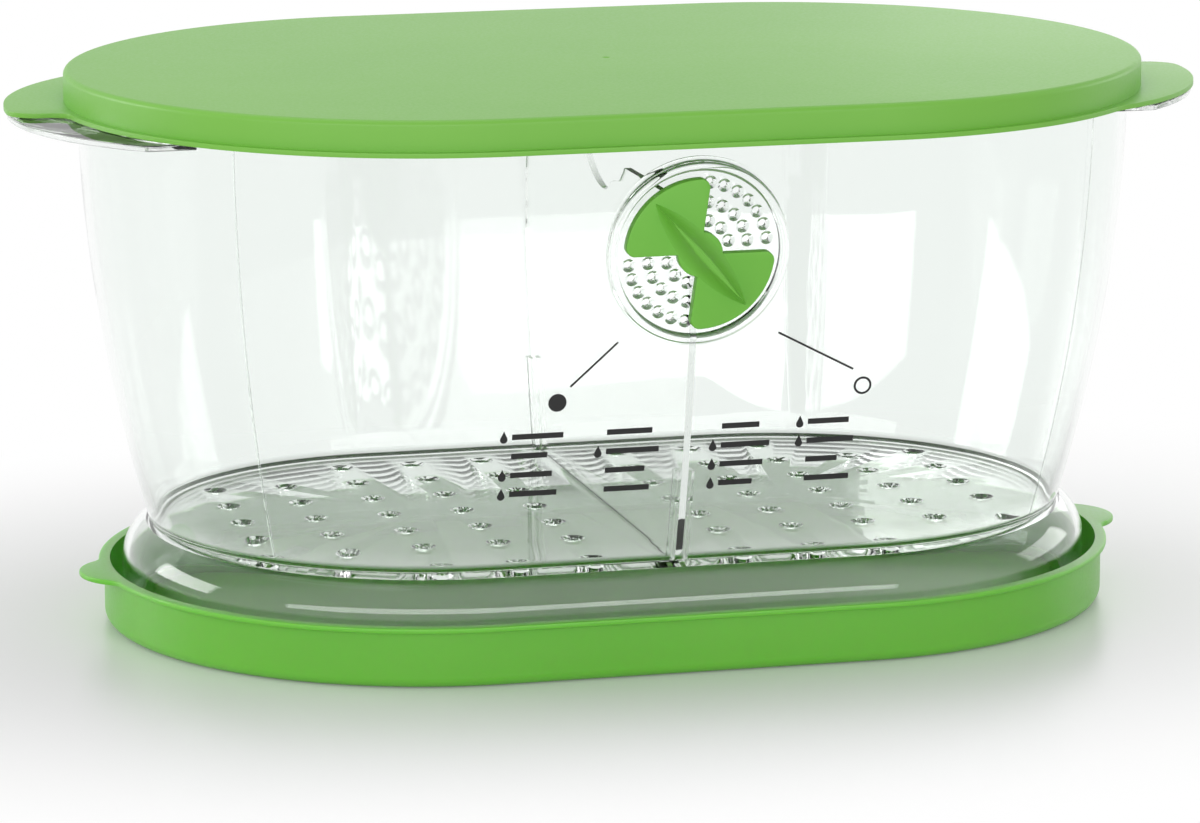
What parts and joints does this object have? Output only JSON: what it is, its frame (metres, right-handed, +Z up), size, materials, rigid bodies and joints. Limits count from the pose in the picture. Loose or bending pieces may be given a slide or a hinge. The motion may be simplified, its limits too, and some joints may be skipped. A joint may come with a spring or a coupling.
{
  "type": "lettuce keeper",
  "caption": "Long oval food keeper: clear vented container with a perforated floor and divider, standing in a green water tray under a green lid with pull tabs.",
  "frame": {"origin": "middle of the flat face that the tray rests on", "axes": "+X along the keeper, -Y out of the wall with the vent, +Z up towards the lid"},
  "size_m": [0.3222, 0.1982, 0.1483],
  "materials": {
    "green_tray_plastic": "satin moulded",
    "clear_plastic": "clear moulded",
    "clear_divider_plastic": "clear moulded",
    "green_lid_plastic": "satin moulded",
    "green_dial_plastic": "satin moulded"
  },
  "bodies": {
    "tray": {"tray": "green_tray_plastic"},
    "container": {"container": "clear_plastic"},
    "divider": {"divider": "clear_divider_plastic"},
    "lid": {"lid": "green_lid_plastic"},
    "vent_dial": {"vent_dial": "green_dial_plastic"}
  },
  "joints": [
    {"name": "container_lift", "type": "slide", "parent": "tray", "child": "container", "axis": [0, 0, 1], "range_m": [0, 0.2]},
    {"name": "lid_lift", "type": "slide", "parent": "container", "child": "lid", "axis": [0, 0, 1], "range_m": [0, 0.3]},
    {"name": "divider_lift", "type": "slide", "parent": "container", "child": "divider", "axis": [0, 0, 1], "range_m": [0, 0.15]},
    {"name": "dial_turn", "type": "hinge", "parent": "container", "child": "vent_dial", "pos_m": [0, -0.09075, 0.1115], "axis": [0, 0.9962, 0.0868], "range_deg": [0, 90]}
  ],
  "couplings": [
    {"joint": "divider_lift", "follows": "lid_lift", "ratio": 0.5}
  ]
}
